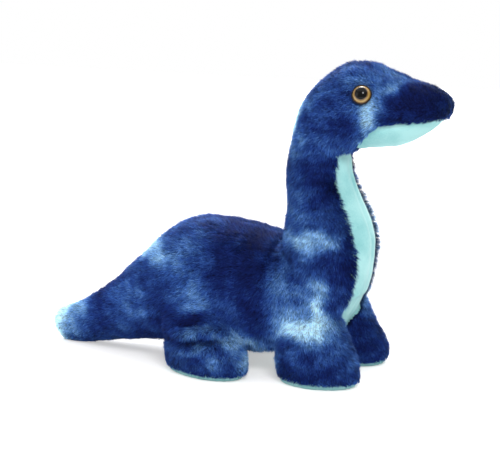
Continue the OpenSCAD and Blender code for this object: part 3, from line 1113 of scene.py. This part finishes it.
    def scatter(self, skin: bpy.types.Object, rng: np.random.Generator) -> tuple[np.ndarray, np.ndarray]:
        """Picks the roots, evenly over the panel and clear of the eyes.

        Args:
            skin: the panel's outer face.
            rng: the panel's random numbers.

        Returns:
            The roots and the cloth's normals there.
        """
        mesh = skin.data
        mesh.calc_loop_triangles()
        triangles = np.empty(len(mesh.loop_triangles) * 3, np.int32)
        mesh.loop_triangles.foreach_get("vertices", triangles)
        triangles = triangles.reshape(-1, 3)
        places, normals = vertex_places(mesh), read_vectors(mesh, "cloth_normal")
        a, b, c = (places[triangles[:, i]] for i in range(3))
        areas = np.linalg.norm(np.cross(b - a, c - a), axis=1) / 2
        count = int(areas.sum() * self.density)
        pick = rng.choice(len(triangles), count, p=areas / areas.sum())
        u, v = rng.random(count), rng.random(count)
        over = u + v > 1
        u[over], v[over] = 1 - u[over], 1 - v[over]
        shares = np.stack([1 - u - v, u, v], axis=1)[:, :, None]
        roots = (places[triangles[pick]] * shares).sum(1)
        directions = unit((normals[triangles[pick]] * shares).sum(1))
        keep = np.ones(count, bool)
        for centre in self.eye_centres:
            keep &= np.linalg.norm(roots - np.array(centre), axis=1) > self.eye_clear
        return roots[keep], directions[keep]

    def blades(self, name: str, corners: np.ndarray, count: int) -> bpy.types.Object:
        """A mesh of two-triangle blades, with a bake map that gives each blade a cell of its own.

        Args:
            name: the new object's name.
            corners: root, two middles and tip of each blade, one row each.
            count: how many blades.

        Returns:
            The new object.
        """
        mesh = bpy.data.meshes.new(name)
        mesh.vertices.add(4 * count)
        mesh.vertices.foreach_set("co", corners.astype(np.float32).ravel())
        start = 4 * np.arange(count)[:, None]
        faces = (start + np.array(self.blade_faces)).ravel().astype(np.int32)
        mesh.loops.add(6 * count)
        mesh.loops.foreach_set("vertex_index", faces)
        mesh.polygons.add(2 * count)
        mesh.polygons.foreach_set("loop_start", (3 * np.arange(2 * count)).astype(np.int32))
        mesh.polygons.foreach_set("use_smooth", np.ones(2 * count, bool))
        mesh.update(calc_edges=True)
        cells = math.ceil(math.sqrt(count))
        cell = np.stack([np.arange(count) % cells, np.arange(count) // cells], axis=1)
        spots = np.array([[0.5, 0.08], [0.1, 0.5], [0.9, 0.5], [0.5, 0.92]])[list(self.blade_faces)]
        layer = mesh.uv_layers.new(name="OFBake")
        layer.data.foreach_set("uv", ((cell[:, None, :] + spots[None]) / cells).astype(np.float32).ravel())
        pile = bpy.data.objects.new(name, mesh)
        bpy.context.scene.collection.objects.link(pile)
        return pile


def add_float(obj: bpy.types.Object, name: str, values: np.ndarray) -> None:
    """Stores one number a vertex on an object."""
    attribute = obj.data.attributes.get(name) or obj.data.attributes.new(name, "FLOAT", "POINT")
    attribute.data.foreach_set("value", values.astype(np.float32))


def add_vectors(obj: bpy.types.Object, name: str, rows: np.ndarray) -> None:
    """Stores one vector a vertex on an object."""
    attribute = obj.data.attributes.get(name) or obj.data.attributes.new(name, "FLOAT_VECTOR", "POINT")
    attribute.data.foreach_set("vector", rows.astype(np.float32).ravel())


def read_vectors(mesh: bpy.types.Mesh, name: str) -> np.ndarray:
    """Reads back one vector a vertex."""
    return read_rows(mesh.attributes[name].data, "vector")


# ---------------------------------------------------------------- sub-assemblies


@dataclass
class Hide:
    """The sewn skin: the body's form as panels of cloth with their pile, the torso's riding on the torso."""

    pattern: Pattern = field(default_factory=Pattern)
    form: BodyForm = field(default_factory=BodyForm)
    pile: Pile = field(default_factory=Pile)
    dye: Dye = field(default_factory=Dye)
    cloth: float = 1.5 * MM
    fill: float = 0.85
    aqua_words: tuple[str, ...] = ("sole", "throat", "belly", "chin")
    joints: dict[str, Joint] = field(
        default_factory=lambda: {
            "lower": Joint("torso", "neck_lower", (0, 0, 100 * MM), (0, 0, 125 * MM)),
            "upper": Joint("neck_lower", "neck_upper", (0, 0, 127 * MM), (0, 0, 154 * MM)),
            "head": Joint("neck_upper", "head", (0.058, 0, 157 * MM), (0.064, 0, 186 * MM)),
            "tail_root": Joint("torso", "tail_root", (-62 * MM, 0, 0), (-95 * MM, 0, 0)),
            "tail_tip": Joint("tail_root", "tail_tip", (-102 * MM, 0, 0), (-134 * MM, 0, 0)),
        }
    )
    leg_blend: tuple[float, float] = (36 * MM, 8 * MM)
    # Each fold above the rear feet is its height and depth. They lie about one x and rise toward the front.
    folds: tuple[tuple[float, float], ...] = ((39 * MM, 3.6 * MM), (29 * MM, 4.2 * MM))
    fold_x: float = -12 * MM
    fold_rise: float = 0.12
    jaw_tuck: float = 4.5 * MM
    # The bare cloth under the pile is painted dark, as painted shade under the pile.
    bare_shade: float = 0.12

    def build(self) -> list[bpy.types.Object]:
        """Makes every panel and its pile.

        Returns:
            The finished pieces.
        """
        form = self.form.build()
        inner = form.copy()
        inner.data = form.data.copy()
        bpy.context.scene.collection.objects.link(inner)
        self.pattern.cut(form)
        self.crease(form)
        places = vertex_places(form.data)
        add_vectors(form, "cloth_normal", vertex_normals(form.data))
        add_float(form, "dye", self.dye.at(places))
        # The bare blue cloth takes the painted shade of the pile's depths.
        add_float(form, "strand", np.full(len(places), self.bare_shade))
        finishes = {Cloth.BLUE: DyedPlush().make(), Cloth.AQUA: ShortNap().make()}
        made = Stuffing().build(inner, self)
        for order, panel in enumerate(self.separate(form, self.pattern.panel_of(face_centres(form.data)))):
            node = panel["node"]
            cloth = Cloth.AQUA if any(word in node for word in self.aqua_words) else Cloth.BLUE
            if cloth is Cloth.BLUE:
                pile = self.pile.grow(panel, f"{node}_pile", self.dye, SEED + 100 + order)
                pile.data.materials.append(finishes[cloth])
                self.give_motion(pile, node)
                made.append(pile)
            self.thicken(panel)
            panel.data.materials.append(finishes[cloth])
            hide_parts(node)
            self.give_motion(panel, node)
            made.append(panel)
        return made

    def crease(self, form: bpy.types.Object) -> None:
        """Presses the folds above the rear feet into the form, and tucks it in under the jaw.

        Args:
            form: the body's form.
        """
        places = vertex_places(form.data)
        normals = vertex_normals(form.data)
        x, y, z = places.T
        sink = np.zeros(len(places))
        along = x - self.fold_x
        reach = np.exp(-((along / (19 * MM)) ** 2)) * ramp(np.abs(y), 40 * MM, 48 * MM)
        for height, depth in self.folds:
            line = z - height - self.fold_rise * along
            sink += depth * reach * np.exp(-((line / (2.4 * MM)) ** 2))
            sink -= 0.5 * depth * reach * np.exp(-(((line + 5 * MM) / (3.0 * MM)) ** 2))
        places -= normals * sink[:, None]
        jaw = (1 - ramp(z, 0.192, 0.197)) * ramp(x, 0.120, 0.156) * ramp(z, 0.165, 0.175)
        places[:, 0] -= self.jaw_tuck * jaw
        set_places(form.data, places)

    def separate(self, form: bpy.types.Object, names: np.ndarray) -> list[bpy.types.Object]:
        """Cuts the form apart into its panels.

        Args:
            form: the body's form, with its seams cut.
            names: the panel of each face.

        Returns:
            The panels, named after their nodes.
        """
        mesh = form.data
        order = sorted(set(names))
        for name in order:
            mesh.materials.append(bpy.data.materials.new(f"panel {name}"))
        index = {name: i for i, name in enumerate(order)}
        mesh.polygons.foreach_set("material_index", np.array([index[name] for name in names], np.int32))
        mesh.polygons.foreach_set("use_smooth", np.ones(len(mesh.polygons), bool))
        make_active(form)
        bpy.ops.mesh.separate(type="MATERIAL")
        panels = list(bpy.context.selected_objects)
        for panel in panels:
            name = panel.data.materials[0].name.removeprefix("panel ")
            panel.data.materials.clear()
            panel["node"] = name
            panel.name = f"{name}_cloth"
            panel.data.name = panel.name
        for marker in [m for m in bpy.data.materials if m.name.startswith("panel ")]:
            bpy.data.materials.remove(marker)
        return sorted(panels, key=lambda panel: panel.name)

    def thicken(self, panel: bpy.types.Object) -> None:
        """Gives a panel the thickness of its cloth, inward, and keeps the shading of the whole form.

        Args:
            panel: the panel's outer face.
        """
        apply_modifier(panel, "SOLIDIFY", thickness=self.cloth, offset=-1.0, use_rim=True)
        normals = read_vectors(panel.data, "cloth_normal")
        half = len(normals) // 2
        normals[half:] *= -1
        panel.data.normals_split_custom_set_from_vertices(normals.tolist())

    def give_motion(self, piece: bpy.types.Object, node: str) -> None:
        """Rides a piece on the torso, or bakes its place into its mesh where its panel belongs to the neck, the
        tail, the head or a leg.

        Args:
            piece: the piece.
            node: the name of its panel.
        """
        for key in ("lower", "upper", "tail_root", "tail_tip"):
            if key in node:
                self.blend(piece, self.joints[key])
                return
        if node.startswith(("head", "crown", "chin")):
            self.blend(piece, self.joints["head"])
            return
        high, low = self.leg_blend
        for leg in LEGS:
            for side in Side:
                body = f"{leg.word}_leg_{side.word}"
                if node.startswith((body, f"{leg.word}_sole_{side.word}")):
                    self.blend(piece, Joint("torso", body, (0, 0, high), (0, 0, low)))
                    return
        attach(piece, "torso")

    def blend(self, piece: bpy.types.Object, joint: Joint) -> None:
        """Bakes a piece's place into its mesh."""
        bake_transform(piece)


@dataclass
class Stuffing:
    """The fibre filling: the body's form, smaller, in one piece for each moving body."""

    pattern: Pattern = field(default_factory=Pattern)
    inset: float = 3.6 * MM
    voxel: float = 4 * MM

    def build(self, form: bpy.types.Object, hide: Hide) -> list[bpy.types.Object]:
        """Makes the filling's pieces inside the skin.

        Args:
            form: a copy of the body's form, used up here.
            hide: the skin, whose motion the filling follows.

        Returns:
            The finished pieces.
        """
        places = vertex_places(form.data)
        set_places(form.data, places - vertex_normals(form.data) * self.inset)
        apply_modifier(form, "REMESH", mode="VOXEL", voxel_size=self.voxel)
        apply_modifier(form, "SMOOTH", factor=0.5, iterations=2)
        for seam in self.pattern.body_cuts():
            self.pattern.cut_one(form, seam)
        finish = Plain("polyester_fibre", (0.80, 0.80, 0.78), 0.95, mottle=0.15).make()
        made = []
        for piece in hide.separate(form, self.names(form)):
            node = piece["node"]
            piece.name = f"{node}_fibre"
            piece.data.name = piece.name
            self.close(piece)
            piece.data.materials.append(finish)
            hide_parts(node)
            hide.give_motion(piece, node)
            made.append(piece)
        return made

    def names(self, form: bpy.types.Object) -> np.ndarray:
        """Names the filling that each face of the form belongs to."""
        panels = self.pattern.panel_of(face_centres(form.data))
        fillings = {
            "rear_side": "torso", "shoulder": "torso", "belly": "torso", "crown": "head", "chin": "head",
        }
        out = []
        for panel in panels:
            words = panel.split("_")
            leg = "_".join([words[0], "leg", words[2]]) if words[1] in ("leg", "sole") else None
            start = "_".join(words[:2]).replace("throat", "neck")
            start = start.replace("head_side", "head")
            for word, body in fillings.items():
                start = body if panel.startswith(word) else start
            out.append(f"{leg or start}_filling")
        return np.array(out, object)

    def close(self, piece: bpy.types.Object) -> None:
        """Closes the openings that the cuts left, with faces that look outward."""
        make_active(piece)
        bpy.ops.object.mode_set(mode="EDIT")
        bpy.ops.mesh.select_mode(type="VERT")
        bpy.ops.mesh.select_all(action="SELECT")
        bpy.ops.mesh.remove_doubles(threshold=0.00005)
        bpy.ops.mesh.fill_holes(sides=0)
        bpy.ops.mesh.quads_convert_to_tris()
        bpy.ops.mesh.select_all(action="SELECT")
        bpy.ops.mesh.normals_make_consistent(inside=False)
        bpy.ops.object.mode_set(mode="OBJECT")


@dataclass
class Eye:
    """A safety eye: an amber iris round a black pupil under one dome, on a black backing."""

    side: Side
    iris_radius: float = 6.5 * MM
    pupil_radius: float = 4.3 * MM
    dome: float = 4.42 * MM
    lift: float = 1.4 * MM
    back: float = 0.84 * MM
    tilt: float = math.radians(24)
    yaw: float = math.radians(10)
    ring_steps: int = 72
    dome_rows: int = 16
    tip_share: float = 0.02

    def build(self) -> list[bpy.types.Object]:
        """Models the dome's two parts where the frame has them.

        Returns:
            The iris and the pupil.
        """
        black = Plain("black_pupil", (0.002, 0.002, 0.002), 0.05, gloss=0.22)
        made = []
        for name, inner, outer, finish, slot in (
            ("eye_iris", self.pupil_radius, self.iris_radius, AmberIris(), "amber_eye"),
            ("eye_pupil", 0.0, self.pupil_radius, black, "black_plastic"),
        ):
            piece = self.cap(f"{name}_{self.side.word}_dome", inner, outer, self.foot(), self.axis())
            piece.data.materials.append(finish.make())
            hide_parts(f"{name}_{self.side.word}")
            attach(piece, "head")
            made.append(piece)
        return made

    def axis(self) -> Vector:
        """The way that the eye looks."""
        level = Vector((math.sin(self.yaw), self.side.value * math.cos(self.yaw), 0))
        return (level * math.cos(self.tilt) + Vector((0, 0, math.sin(self.tilt)))).normalized()

    def foot(self) -> Vector:
        """The middle of the eye's back, on the cloth."""
        return Vector((31.3 * LX, self.side.value * 21.6 * WY, 91.5 * HZ))

    def cap(self, name: str, inner: float, outer: float, foot: Vector, axis: Vector) -> bpy.types.Object:
        """A ring or a cap of the dome, closed at the back.

        Args:
            name: the new object's name.
            inner: the ring's inner radius, or 0 for a full cap.
            outer: its outer radius.
            foot: the middle of the eye's back.
            axis: the way that the eye looks.

        Returns:
            The new object.
        """
        ball = (self.iris_radius**2 + self.dome**2) / (2 * self.dome)
        deselect_all()
        bpy.ops.mesh.primitive_circle_add(vertices=self.ring_steps, radius=outer)
        cap = bpy.context.object
        cap.name = name
        mesh = bmesh.new()
        radii = np.linspace(outer, max(inner, outer * self.tip_share), self.dome_rows)
        profile = [(r, self.lift + self.dome - ball + math.sqrt(ball**2 - r**2)) for r in radii]
        profile = [(outer, self.back)] + profile + [(radii[-1], self.back)]
        turn = Vector((0, 0, 1)).rotation_difference(axis).to_matrix()
        rows = []
        for radius, height in profile:
            row = []
            for angle in ring_angles(self.ring_steps):
                corner = Vector((radius * math.cos(angle), radius * math.sin(angle), height))
                row.append(mesh.verts.new(foot + turn @ corner))
            rows.append(row)
        join_rows(mesh, rows + rows[:1])
        write_mesh(mesh, cap)
        ring = np.concatenate([np.full(self.ring_steps, (r - inner) / (outer - inner)) for r, _ in profile])
        add_float(cap, "ring", ring)
        make_active(cap)
        bpy.ops.object.shade_smooth_by_angle(angle=math.radians(40))
        return cap


@dataclass
class Insides:
    """What the frame holds that keeps its own shape: the eyes' shanks and washers."""

    def dress(self, frame: dict) -> None:
        """Gives the frame's own nodes their finishes.

        Args:
            frame: the loaded frame.
        """
        finishes = {
            "shank": Plain("black_moulding", (0.006, 0.006, 0.007), 0.18, 0.6).make(),
            "washer": Plain("ivory_moulding", (0.72, 0.70, 0.62), 0.5).make(),
        }
        for name, node in frame["nodes"].items():
            for word, finish in finishes.items():
                if word in name:
                    node.data.materials.clear()
                    node.data.materials.append(finish)


@dataclass
class Studio:
    """A pale floor, soft light and the camera."""

    azimuth: float = math.radians(23)
    elevation: float = math.radians(12)
    distance: float = 1.25
    target: tuple[float, float, float] = (0.004, 0.0, 0.110)
    frame_width: float = 0.375
    drop: float = 0.0083
    room_light: float = 0.45
    floor_size: float = 3.2
    floor_gap: float = 0.2 * MM
    floor_tone: float = 0.80
    # How much the floor glows for the camera alone, so that it meets the backdrop in the same tone.
    floor_glow: float = 0.46
    # Each lamp is its name, place, size and power.
    lamps: tuple[tuple[str, tuple[float, float, float], float, float], ...] = (
        ("overhead", (0.0, 0.6, 2.4), 5.0, 62.0),
        ("key", (0.9, -1.3, 1.5), 0.6, 20.0),
        ("fill", (-1.4, -1.2, 0.7), 1.2, 6.0),
        ("rim", (-0.5, 1.6, 1.5), 1.0, 46.0),
    )

    def build(self) -> None:
        """Sets the floor, the lights and the camera."""
        self.floor()
        self.lights()
        self.camera()
        bpy.context.scene.view_settings.view_transform = "Standard"

    def camera(self) -> None:
        """Places the camera."""
        a, e = self.azimuth, self.elevation
        back = Vector((math.sin(a) * math.cos(e), -math.cos(a) * math.cos(e), math.sin(e)))
        aim = Vector(self.target) - Vector((0, 0, self.drop))
        data = bpy.data.cameras.new("camera")
        data.sensor_width = 36
        data.lens = 36 * self.distance / self.frame_width
        data.clip_end = 20
        camera = bpy.data.objects.new("camera", data)
        camera.location = Vector(self.target) + back * self.distance
        camera.rotation_euler = (aim - camera.location).to_track_quat("-Z", "Y").to_euler()
        bpy.context.scene.collection.objects.link(camera)
        bpy.context.scene.camera = camera

    def floor(self) -> None:
        """A pale floor that meets the backdrop in the same tone."""
        deselect_all()
        bpy.ops.mesh.primitive_plane_add(size=self.floor_size, location=(0, 0, -self.floor_gap))
        floor = bpy.context.object
        floor.name = "floor"
        material, tree, shader = start_material("pale_floor")
        grey = (self.floor_tone,) * 3
        set_inputs(shader, {"Base Color": (*grey, 1), "Roughness": 0.9, "Emission Color": (1, 1, 1, 1)})
        path = tree.nodes.new("ShaderNodeLightPath")
        glow = tree.nodes.new("ShaderNodeMath")
        glow.operation = "MULTIPLY"
        set_inputs(glow, {1: self.floor_glow})
        tree.links.new(path.outputs["Is Camera Ray"], glow.inputs[0])
        tree.links.new(glow.outputs[0], shader.inputs["Emission Strength"])
        floor.data.materials.append(material)

    def lights(self) -> None:
        """A bright room and four soft lamps."""
        world = bpy.data.worlds.new("room")
        bpy.context.scene.world = world
        world.use_nodes = True
        nodes, links = world.node_tree.nodes, world.node_tree.links
        path = nodes.new("ShaderNodeLightPath")
        level = nodes.new("ShaderNodeMapRange")
        set_inputs(level, {"To Min": self.room_light, "To Max": 1.0})
        links.new(path.outputs["Is Camera Ray"], level.inputs["Value"])
        set_inputs(nodes["Background"], {"Color": (1, 1, 1, 1)})
        links.new(level.outputs["Result"], nodes["Background"].inputs["Strength"])
        for name, place, size, power in self.lamps:
            data = bpy.data.lights.new(name, "AREA")
            data.size = size
            data.energy = power
            lamp = bpy.data.objects.new(name, data)
            lamp.location = place
            lamp.rotation_euler = (Vector((0, 0, 0.1)) - Vector(place)).to_track_quat("-Z", "Y").to_euler()
            bpy.context.scene.collection.objects.link(lamp)


def main() -> None:
    """Builds the toy round the frame, piece by piece."""
    logging.basicConfig(level=logging.INFO, format="%(name)s: %(message)s")
    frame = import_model()
    deselect_all()
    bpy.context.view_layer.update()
    Studio().build()
    eyes = [Eye(side) for side in Side]
    hide = Hide(pile=Pile(eye_centres=tuple(tuple(eye.foot()) for eye in eyes)))
    for piece in hide.build():
        LOG.info("%s: %d faces", piece.name, len(piece.data.polygons))
    for eye in eyes:
        for piece in eye.build():
            LOG.info("%s: %d faces", piece.name, len(piece.data.polygons))
    Insides().dress(frame)


if __name__ == "__main__":
    main()
